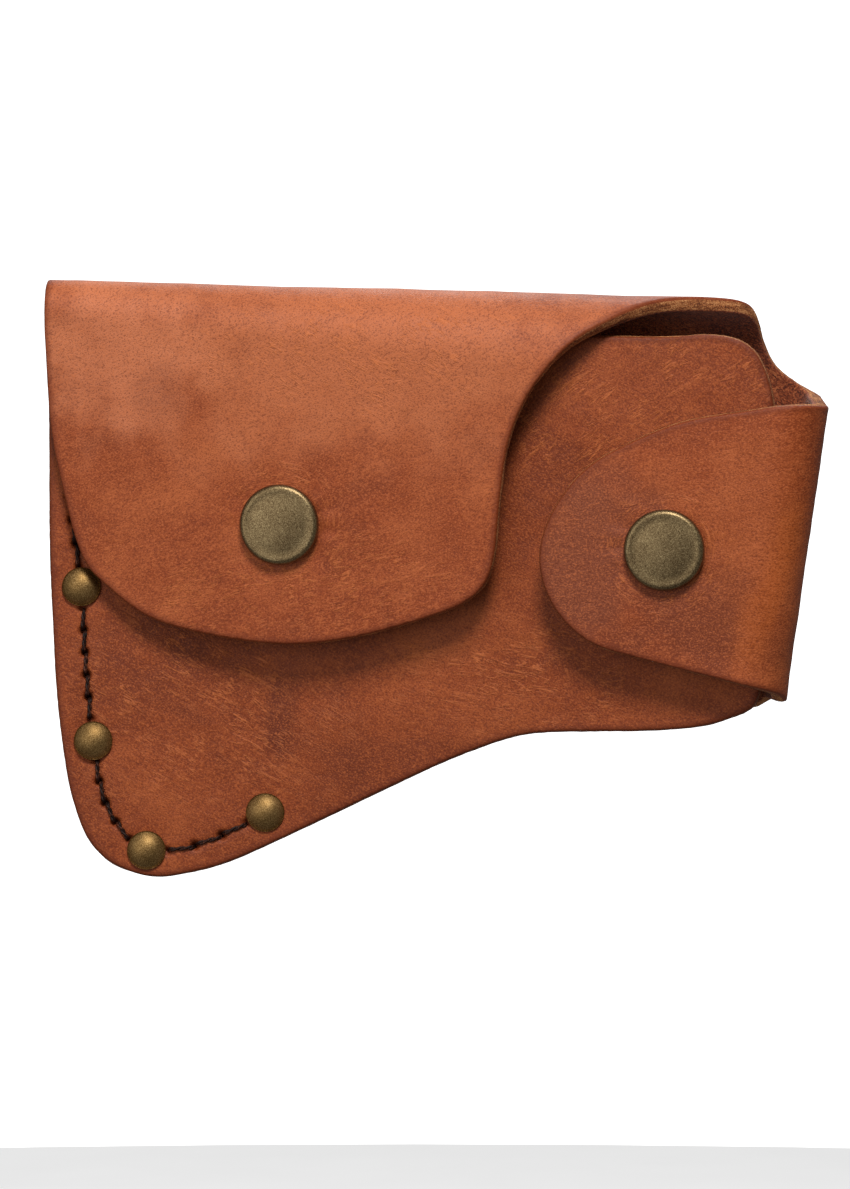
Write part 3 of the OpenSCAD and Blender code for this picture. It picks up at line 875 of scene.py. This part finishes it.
def pucker(p, centre, rays):
    """Leather drawn in round a snap: a shallow dish with small rays of folds."""
    q = p - centre
    d, turn = np.hypot(q[:, 0], q[:, 1]), np.arctan2(q[:, 1], q[:, 0])
    wave = np.cos(rays * turn + 1.7 * np.sin(2 * turn + 0.6) + 0.9 * np.sin(3 * turn))
    ring = np.exp(-((d - CAP_R - 1.6) / 2.6) ** 2) * (0.6 + 0.4 * np.sin(turn * 1.5 + 1))
    dish = np.exp(-(d / (CAP_R + 3.0)) ** 4)
    return 0.16 * wave * ring - 0.28 * dish


def dots(p, centres, depth, width):
    """Round dents."""
    out = np.zeros(len(p))
    for c in centres:
        out -= depth * np.exp(-(((p - c) / width) ** 2).sum(1))
    return out


def groove(p, line, depth, width):
    """A dent along a line."""
    return -depth * np.exp(-(to_line(p, line, False) / width) ** 2)


seam = spline(SEAM_LINE, 0.5)


def stitch_ends():
    """Both ends of every stitch on the seam, as X and Z; each run between two rivets holds whole stitches."""
    s = lengths(seam)
    stops = [float(s[np.argmin(np.linalg.norm(seam - r, axis=1))]) for r in RIVETS]
    starts = [0.0] + [v + RIVET_R + 0.2 for v in stops[:-1]]
    out = []
    for low, high in zip(starts, [v - RIVET_R - 0.2 for v in stops]):
        marks = np.linspace(low, high, max(1, round((high - low) / STITCH)) + 1)
        line = np.stack([np.interp(marks, s, seam[:, 0]), np.interp(marks, s, seam[:, 1])], axis=1)
        out += list(zip(line[:-1], line[1:]))
    return out


stitches = stitch_ends()
needle_holes = [p for pair in stitches for p in pair]


def hide_dent(p):
    wave = 0.28 * rough(p, 30, 2.0, 2) + 0.09 * rough(p, 7, 5.0, 2)
    calm = smooth(to_line(p, hide_loop) / 5)
    return (wave * calm + pucker(p, top_snap, 9) + pucker(p, side_snap, 8)
            + dots(p, needle_holes, 0.5, 0.55) + dots(p, RIVETS, 0.2, 4.2))


def hide_zones(p):
    """0 back, 1 and 2 the top fold and flap, 3 and 4 the side fold and flap."""
    _, _, psi, s1, _ = hide_map(p)
    side = s1 > 0
    return np.where(side, np.where(s1 > WALL_CUT, 4, 3), np.where(psi > TOP_CUT, 2, np.where(psi > 0, 1, 0)))


def inner_part(line, loop):
    return line[inside(line, loop) & (to_line(line, loop) > 0.35)]


def ray_line(psi):
    return inner_part(resample(np.array([cone_point(-80, psi), cone_point(90, psi)]), 1.3), hide_loop)


def wall_line(s):
    return inner_part(resample(np.array([side_point(s, -60), side_point(s, 22)]), 1.3), hide_loop)


# ---------------------------------------------------------------- leather pieces
edge_finish, flesh_finish = cut_edge(), flesh_suede()
TAN = dict(dark=srgb(92, 34, 11), mid=srgb(132, 58, 22), light=srgb(172, 90, 44))
panel_finish = grain_leather(
    "leather_panel", **TAN,
    marks=[((-23, -37), (4, 12), srgb(92, 34, 12), 0.8), ((4, -33), (28, 9), srgb(142, 64, 26), 0.4),
           ((-61, -4), (5, 30), srgb(150, 74, 36), 0.3), ((10, -45), (28, 4), srgb(104, 42, 18), 0.5),
           ((-44, -50), (10, 12), srgb(142, 64, 26), 0.4), ((44, 26), (26, 10), srgb(142, 68, 34), 0.5)],
    streak=1.05,
    stretched=[(1.05, (-38, -38), (34, 26)), (-0.96, (44, 22), (34, 22)), (1.4, (20, -30), (30, 14))])
# The two pale marks high on the top flap are painted light, and side_shade is painted shade low on the side
# flap. The other marks are tone and stains of the leather.
hide_finish = grain_leather(
    "leather_hide", dark=srgb(102, 40, 14), mid=srgb(141, 63, 25), light=srgb(180, 96, 52),
    marks=[(flap_painted_light_top, (60, 27), srgb(184, 104, 64), 0.85), (flap_painted_light_left, (20, 22), srgb(196, 116, 78), 0.8),
           (flap_blotch, (7, 6), srgb(112, 52, 30), 0.35),
           (side_lobe, (17, 24), srgb(120, 61, 38), 0.85), (side_shade, (20, 14), srgb(108, 48, 23), 0.8),
           (side_pale, (10, 22), srgb(150, 72, 30), 0.5), (side_rim, (4, 24), srgb(172, 84, 30), 0.6)],
    streak=1.2, stretched=[(1.35, flap_low, (44, 14)), (-1.0, flap_painted_light_top, (40, 16))],
    ringed=[top_snap, side_snap])
strap_finish = grain_leather("leather_strap", **TAN, streak=0.2, stretched=[(0.3, (500, 0), (20, 40))])
welt_finish = grain_leather("leather_welt", srgb(84, 36, 19), srgb(124, 60, 32), srgb(160, 92, 56))


def short_line(centre):
    """A line through a snap, for a finer mesh round it."""
    return resample(np.array([centre - [0.5, 0], centre + [0.5, 0]]), 0.5)


hide_names = ["hide_back", "hide_top_fold", "hide_top_flap", "hide_side_fold", "hide_side_flap"]
hide = leather(
    hide_names, hide_loop, hide_map, [hide_finish, edge_finish, flesh_finish], gap=1.5,
    fine=[(short_line(top_snap), 13, 0.85), (short_line(side_snap), 13, 0.85), (seam, 2.2, 0.6)],
    cuts=[ray_line(0), ray_line(TOP_CUT), wall_line(0), wall_line(WALL_CUT)],
    zones=hide_zones, dent=hide_dent, holes=needle_holes)


def fold_with(piece, share):
    """The piece's transform is baked into its mesh, and the high body's share of the bend at each point is
    clipped to 0 to 1.

    The share follows the fold's angle, because a cone's fold is wider at one end than at the other. The
    clipped share is not used further.
    """
    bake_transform(piece)
    share = np.clip(share, 0, 1).astype(np.float32)


(back, top_fold, top_flap, side_bend, side_flap), flat_points = zip(*hide)
psi_1, psi_2 = hide_map(flat_points[1])[2], hide_map(flat_points[2])[2]
wall_1, wall_2 = hide_map(flat_points[3])[3], hide_map(flat_points[4])[4]
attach(back, "sheath")
fold_with(top_fold, psi_1 / TOP_CUT)
fold_with(top_flap, (psi_2 - TOP_CUT) / (TURN - TOP_CUT))
fold_with(side_bend, wall_1 / FOLD_1_LONG)
fold_with(side_flap, wall_2 / FOLD_2_LONG)
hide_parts("back_panel")
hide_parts("top_back_bend", "top_wall")
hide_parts("top_front_bend", "top_flap")
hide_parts("side_back_bend", "side_wall")
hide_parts("side_front_bend", "side_flap")

panel_top = spline([low_back[-5], *MOUTH_EDGE, (-10, 36.6), (-40, 37.7), SEAM_EDGE[0]])
panel_loop = np.concatenate([low_back[:-5], panel_top[:-1]])


def panel_dent(p):
    wave = 0.3 * rough(p, 24, 7.0, 2) + 0.1 * rough(p, 6, 9.0, 2)
    calm = smooth(to_line(p, panel_loop) / 4)
    seats = sum(np.exp(-(np.hypot(*(p - snap).T) / 7) ** 4) for snap in (TOP_SNAP, SIDE_SNAP))
    return (wave * calm + groove(p, seam, 0.22, 0.9) + dots(p, needle_holes, 1.1, 0.6)
            + dots(p, RIVETS, 0.3, 4.4) - 0.25 * seats)


[(panel, _)] = leather(
    ["front_panel_leather"], panel_loop, panel_map, [panel_finish, edge_finish, flesh_finish],
    gap=1.4, fine=[(seam, 3.0, 0.5)], dent=panel_dent, holes=needle_holes)
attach(panel, "sheath")
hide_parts("front_panel")

seam_side = spline(SEAM_EDGE)
welt_loop = np.concatenate([seam_side, inset(seam_side, WELT_W)[4:-4][::-1]])
[(welt, _)] = leather(
    ["welt_leather"], welt_loop, welt_map, [welt_finish, edge_finish, flesh_finish],
    thick=WELT_T, gap=2.0, base=(300, 0, 0), round_out=0.3)
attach(welt, "sheath")
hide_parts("welt")


def rounded(half_w, half_h, r):
    """A rectangle with rounded corners, about the origin."""
    out = []
    for cx, cy, start in ((1, 1, 0), (-1, 1, 90), (-1, -1, 180), (1, -1, 270)):
        for a in np.radians(start + np.linspace(0, 90, 7)):
            out.append(((half_w - r) * cx + r * math.cos(a), (half_h - r) * cy + r * math.sin(a)))
    out.append(out[0])
    return resample(np.array(out), 0.9)[:-1]


loop_rivets_flat = [(x, math.copysign(STRAP_LONG - STRAP_TAB / 2, z)) for x, z in LOOP_RIVETS]
strap_loop = rounded(STRAP_W / 2, STRAP_LONG, 4)


def strap_dent(p):
    wave = 0.16 * rough(p, 16, 12.0, 2) * smooth(to_line(p, strap_loop) / 4)
    border = groove(p, rounded(STRAP_W / 2 - 2.4, STRAP_LONG - 2.4, 2.5), 0.28, 0.45)
    return wave + border + dots(p, loop_rivets_flat, 0.25, 4.2)


[(strap, _)] = leather(
    ["belt_loop_leather"], strap_loop, strap_map, [strap_finish, edge_finish, flesh_finish],
    gap=1.0, dent=strap_dent, base=(500, 0, 0))
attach(strap, "sheath")
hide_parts("belt_loop")


# ---------------------------------------------------------------- stitches
PLY_R = 0.24
PLY_OFF = 0.21
HOLE_GAP = 0.16
SLANT = 0.26


def tube(path, radius, sides=8):
    """Points and faces of a closed tube along the path."""
    t = units(np.gradient(path, axis=0))
    side = units(np.cross(t, [0.0, 1.0, 0.03]))
    up = np.cross(side, t)
    a = np.linspace(0, 2 * math.pi, sides, endpoint=False)
    ring = np.cos(a)[None, :, None] * side[:, None] + np.sin(a)[None, :, None] * up[:, None]
    verts = (path[:, None] + radius * ring).reshape(-1, 3)
    rings = np.arange(len(path) * sides).reshape(-1, sides)
    turned = np.roll(rings, -1, axis=1)
    quads = np.stack([rings[:-1], turned[:-1], turned[1:], rings[1:]], axis=2).reshape(-1, 4)
    return verts, [*map(tuple, quads), tuple(rings[0][::-1]), tuple(rings[-1])]


def gather(parts):
    """Points and faces of several meshes as one."""
    verts, faces, start = [], [], 0
    for v, f in parts:
        verts.append(v)
        faces += [tuple(i + start for i in face) for face in f]
        start += len(v)
    return np.concatenate(verts), faces


def stitch_row(name, face_y, way, node):
    """Two-ply waxed stitches that dip into their needle holes; way is the face's direction along Y."""
    rng = np.random.default_rng(5)
    parts = []
    for a, b in stitches:
        lean = SLANT * unit(np.array([a[1] - b[1], b[0] - a[0]]))
        space = HOLE_GAP * (b - a) / STITCH
        a, b = a + space + lean, b - space - lean
        t = np.linspace(0, 1, 27)
        flat = a + (b - a) * t[:, None]
        dip = np.clip((np.abs(2 * t - 1) - 0.66) / 0.34, 0, 1)
        height = 0.06 + 0.12 * rng.random() - 1.7 * dip**2
        path = np.stack([flat[:, 0], face_y(flat) + way * height, flat[:, 1]], axis=1)
        out = np.array([0, way, 0])
        across = np.cross(unit(np.array([b[0] - a[0], 0, b[1] - a[1]])), out)
        twist = 2 * math.pi * (1.35 * t + rng.random())
        for turn in (twist, twist + math.pi):
            off = np.outer(np.cos(turn), across) + np.outer(np.sin(turn), out)
            parts.append(tube(path + PLY_OFF * off, PLY_R))
    verts, faces = gather(parts)
    ob = mesh_object(name, verts, faces, np.zeros(len(faces), int), [thread_finish])
    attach(ob, "sheath")
    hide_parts(node)


thread_finish = waxed_thread()
stitch_row("needle_stitches", seam_y, -1, "needle_thread")
stitch_row("bobbin_stitches", lambda p: np.full(len(p), BACK_FACE), 1, "bobbin_thread")


# ---------------------------------------------------------------- brass
def lathe(profile, centre, normal, sides=64):
    """A turned body: profile is radius and height along normal, from the axis round to the axis."""
    x = unit(np.cross([0.0, 0, 1], normal))
    y = np.cross(normal, x)
    a = np.linspace(0, 2 * math.pi, sides, endpoint=False)
    rim = np.cos(a)[:, None] * x + np.sin(a)[:, None] * y
    verts, rings = [], []
    for r, h in profile:
        if r < 1e-6:
            rings.append([len(verts)])
            verts.append(centre + h * normal)
        else:
            rings.append(list(range(len(verts), len(verts) + sides)))
            verts += list(centre + r * rim + h * normal)
    faces = []
    for low, high in zip(rings[:-1], rings[1:]):
        for j in range(sides):
            k = (j + 1) % sides
            if len(low) == 1:
                faces.append((low[0], high[j], high[k]))
            elif len(high) == 1:
                faces.append((low[j], high[0], low[k]))
            else:
                faces.append((low[j], high[j], high[k], low[k]))
    # One face near the middle of the profile shows whether they all look outwards
    v = np.array(verts)
    f0 = faces[len(faces) // 2]
    fn = np.cross(v[f0[1]] - v[f0[0]], v[f0[2]] - v[f0[0]])
    out = v[list(f0)].mean(0) - centre
    if fn @ (out - (out @ normal) * normal * 0.5) < 0:
        faces = [f[::-1] for f in faces]
    return v, faces


def arc(r, h, radius, start, end, n=8):
    """Points of an arc about the profile's r and h, between two angles in degrees."""
    turns = np.radians(np.linspace(start, end, n))
    return [(r + radius * math.cos(a), h + radius * math.sin(a)) for a in turns]


def brass_piece(name, node, body, profile, finish, normal, centres):
    """Turned brass with the same profile on every centre, in the place of a frame's node."""
    verts, faces = gather([lathe(profile, np.array(centre, float), normal) for centre in centres])
    ob = mesh_object(name, verts, faces, np.zeros(len(faces), int), [finish])
    ob.data.set_sharp_from_angle(angle=math.radians(50))
    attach(ob, body)
    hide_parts(node)


snap_brass = aged_brass("snap_brass", srgb(78, 62, 42), srgb(116, 97, 68), srgb(160, 140, 102), 0.3)
rivet_brass = aged_brass("rivet_brass", srgb(94, 70, 38), srgb(132, 102, 60), srgb(172, 140, 92), 0.42)
inner_brass = aged_brass("inner_brass", srgb(128, 104, 58), srgb(176, 150, 92), srgb(210, 188, 134), 0.28)

cap_profile = ([(r, CAP_H + 0.28 - 0.42 * (r / 6.2) ** 2) for r in (0, 1, 2, 3, 4, 5, 5.7)]
               + [(CAP_R - 1.4, CAP_H - 0.04)] + arc(CAP_R - 1.05, CAP_H - 1.05, 1.05, 84, -20, 12)
               + [(CAP_R - 0.35, 0.25), (CAP_R - 0.6, -0.15), (0, -0.15)])
dome = (RIVET_R**2 + RIVET_H**2) / (2 * RIVET_H)
dome_span = math.degrees(math.asin(RIVET_R / dome))
rivet_profile = ([(0, RIVET_H)] + arc(0, RIVET_H - dome, dome, 88, 90 - dome_span * 0.93, 14)
                 + arc(RIVET_R - 0.28, 0.22, 0.28, 40, -60, 6) + [(RIVET_R - 0.4, -0.15), (0, -0.15)])
head_profile = ([(0, 0.86), (RIVET_R - 1.4, 0.84)] + arc(RIVET_R - 0.72, 0.48, 0.4, 88, -15, 8)
                + [(RIVET_R - 0.5, -0.1), (0, -0.1)])


def flap_point(at):
    """The point of the flaps' outer plane at X and Z."""
    return np.array([at[0], (FLAP_OFF - FRONT_N[0] * at[0] - FRONT_N[2] * at[1]) / FRONT_N[1], at[1]])


FRONT = np.array([0.0, -1, 0])
for name, at in (("top", TOP_SNAP), ("side", SIDE_SNAP)):
    brass_piece(f"{name}_snap_cap_brass", f"{name}_snap_cap", f"{name}_flap_body",
                cap_profile, snap_brass, FRONT_N, [flap_point(at)])
for i, (x, z) in enumerate(RIVETS, 1):
    brass_piece(f"seam_rivet_{i}_cap_brass", f"seam_rivet_{i}_cap", "sheath",
                rivet_profile, rivet_brass, FRONT, [(x, FLANGE_FACE, z)])
    brass_piece(f"seam_rivet_{i}_head_brass", f"seam_rivet_{i}_post", "sheath",
                head_profile, rivet_brass, BACK_N, [(x, BACK_FACE, z)])
brass_piece("loop_rivet_caps_brass", "loop_rivet_caps", "sheath",
            rivet_profile, rivet_brass, BACK_N, [(x, BACK_FACE + HIDE_T, z) for x, z in LOOP_RIVETS])
brass_piece("loop_rivet_heads_brass", "loop_rivet_posts", "sheath",
            head_profile, rivet_brass, FRONT, [(x, BACK_INNER, z) for x, z in LOOP_RIVETS])

# The snaps' inner pieces are the frame's own
snap_finishes = {"socket": inner_brass, "stud": inner_brass, "eyelet": inner_brass, "spring": spring_steel()}
for name in ("top", "side"):
    for part, finish in snap_finishes.items():
        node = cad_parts[f"{name}_snap_{part}"]
        node.data.materials.clear()
        node.data.materials.append(finish)


# ---------------------------------------------------------------- studio, in metres
CAMERA_PLACE = (0.00475, -0.908, -0.0142)
LENS = 140.2
FLOOR_Z = -0.30


def area_light(name, place, target, size, power):
    data = bpy.data.lights.new(name, "AREA")
    data.size = size
    data.energy = power
    ob = bpy.data.objects.new(name, data)
    ob.location = place
    ob.rotation_euler = (Vector(target) - Vector(place)).to_track_quat("-Z", "Y").to_euler()
    bpy.context.scene.collection.objects.link(ob)


def pale(name, glow):
    """A pale studio paper with a very faint tooth."""
    s = Surface(name)
    colour = s.ramp(s.noise(60, 3), (0.3, (0.86, 0.86, 0.86)), (0.7, (0.92, 0.92, 0.92)))
    normal = s.bump(s.noise(2, 3), 0.02)
    return s.finish(colour, 0.9, normal, Emission_Color=(1, 1, 1, 1), Emission_Strength=glow)


def disc(radius, height):
    """Points and face of a round floor."""
    a = np.linspace(0, 2 * math.pi, 96, endpoint=False)
    return np.stack([radius * np.cos(a), radius * np.sin(a), np.full(96, height)], axis=1), [tuple(range(96))]


def ball(radius):
    """Points and faces of a sphere round the origin."""
    profile = [(radius * math.sin(a), radius * math.cos(a)) for a in np.linspace(0, math.pi, 33)]
    return lathe(profile, np.zeros(3), np.array([0.0, 1, 0]))


def backdrop(name, shape, finish):
    """Part of the studio that only the camera sees, so its glow adds no light."""
    verts, faces = shape
    ob = mesh_object(name, verts / MM, faces, np.zeros(len(faces), int), [finish])
    for kind in ("diffuse", "glossy", "transmission", "volume_scatter", "shadow"):
        setattr(ob, "visible_" + kind, False)


backdrop("floor", disc(1.5, FLOOR_Z), pale("floor_paper", 0.55))
backdrop("surround", ball(3.0), pale("surround_paper", 1.2))
area_light("key", (0.05, -0.62, 0.64), (0, -0.02, 0), 0.26, 7.8)
area_light("fill", (-0.55, -0.75, 0.10), (0, -0.02, 0), 0.7, 2.7)
area_light("rim_light", (0.1, 0.55, 0.6), (0, 0, 0), 0.5, 3.0)

world = bpy.data.worlds.new("studio")
world.use_nodes = True
background = world.node_tree.nodes["Background"]
background.inputs["Color"].default_value = (1, 1, 1, 1)
background.inputs["Strength"].default_value = 0.2
bpy.context.scene.world = world
bpy.context.scene.view_settings.view_transform = "Standard"

camera_data = bpy.data.cameras.new("camera")
camera_data.lens = LENS
camera_data.clip_start = 0.02
camera = bpy.data.objects.new("camera", camera_data)
camera.location = CAMERA_PLACE
camera.rotation_euler = (math.pi / 2, 0, 0)
bpy.context.scene.collection.objects.link(camera)
bpy.context.scene.camera = camera
